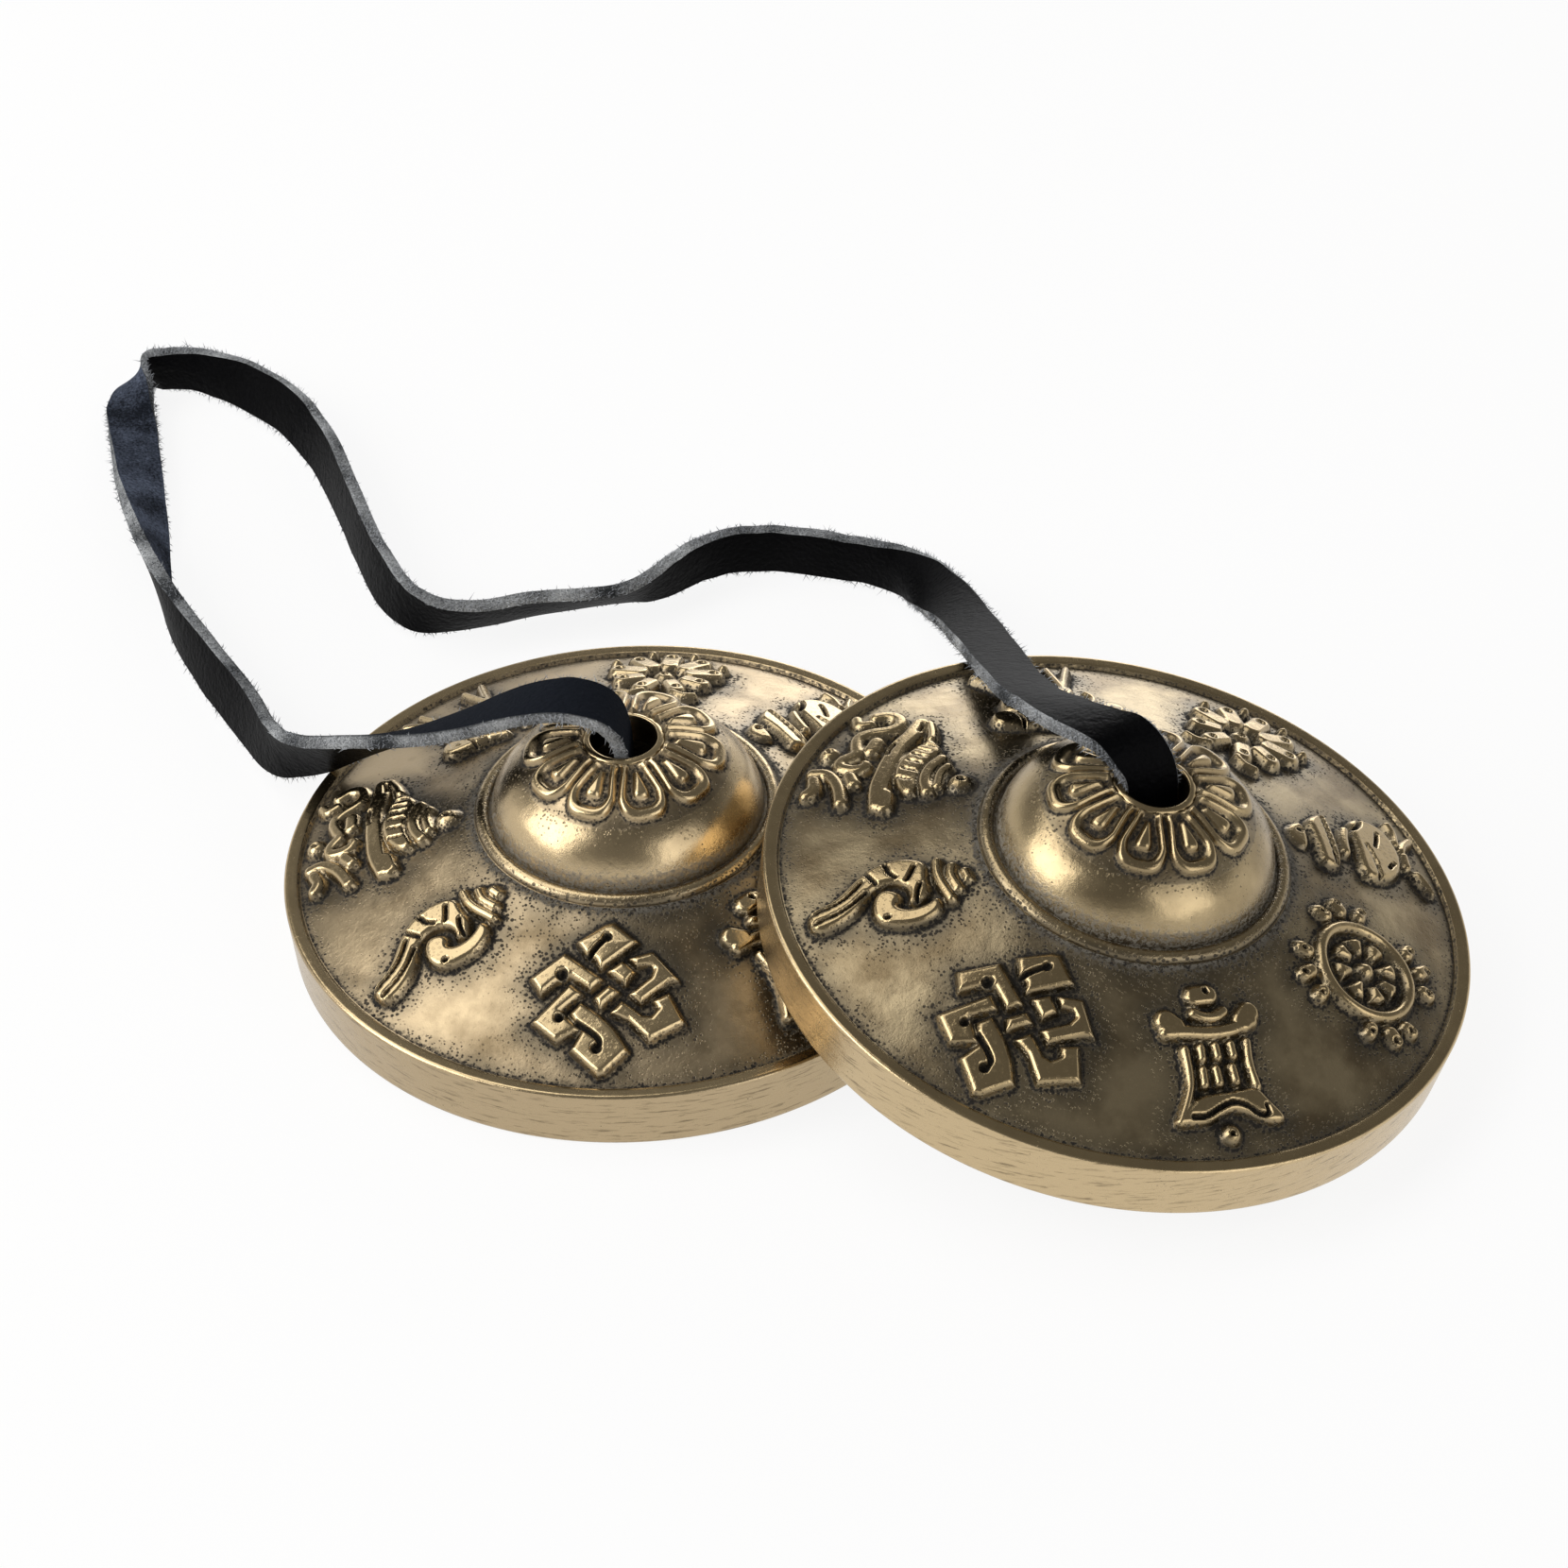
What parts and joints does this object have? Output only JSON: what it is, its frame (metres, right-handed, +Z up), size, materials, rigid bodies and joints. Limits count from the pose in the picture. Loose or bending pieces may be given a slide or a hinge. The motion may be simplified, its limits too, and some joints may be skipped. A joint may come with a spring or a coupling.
{
  "type": "tingsha hand cymbals",
  "caption": "Pair of cast bronze hand cymbals with raised symbols on the field and a lotus dome, tied together by a flat leather strap knotted inside each dome.",
  "frame": {"origin": "on the table, under the middle of the two cymbals' common box", "axes": "+X from the flat cymbal's axis towards the leaning one, +Z up, +Y away from the viewer"},
  "size_m": [0.1616, 0.1007, 0.0321],
  "materials": {
    "bronze": "cast bell bronze with dark patina in the recesses and worn bright relief",
    "leather": "black grain on one side, grey-black suede on the other"
  },
  "bodies": {
    "strap": {"strap": "leather", "left_knot": "leather"},
    "left_cymbal": {"left_cymbal": "bronze"},
    "right_knot": {"right_knot": "leather"},
    "right_cymbal": {"right_cymbal": "bronze"}
  },
  "joints": [
    {"name": "left_spin", "type": "hinge", "parent": "strap", "child": "left_cymbal", "pos_m": [-0.02307, 0, 0], "axis": [0, 0, 1], "continuous": true},
    {"name": "right_lean", "type": "hinge", "parent": "strap", "child": "right_knot", "pos_m": [0.05352, 0, 0], "axis": [0, 1, 0], "range_deg": [0, 20], "deforming": ["strap"]},
    {"name": "right_spin", "type": "hinge", "parent": "right_knot", "child": "right_cymbal", "pos_m": [0.02257, 0, 0.00643], "axis": [0.2033, 0, 0.9791], "continuous": true}
  ]
}
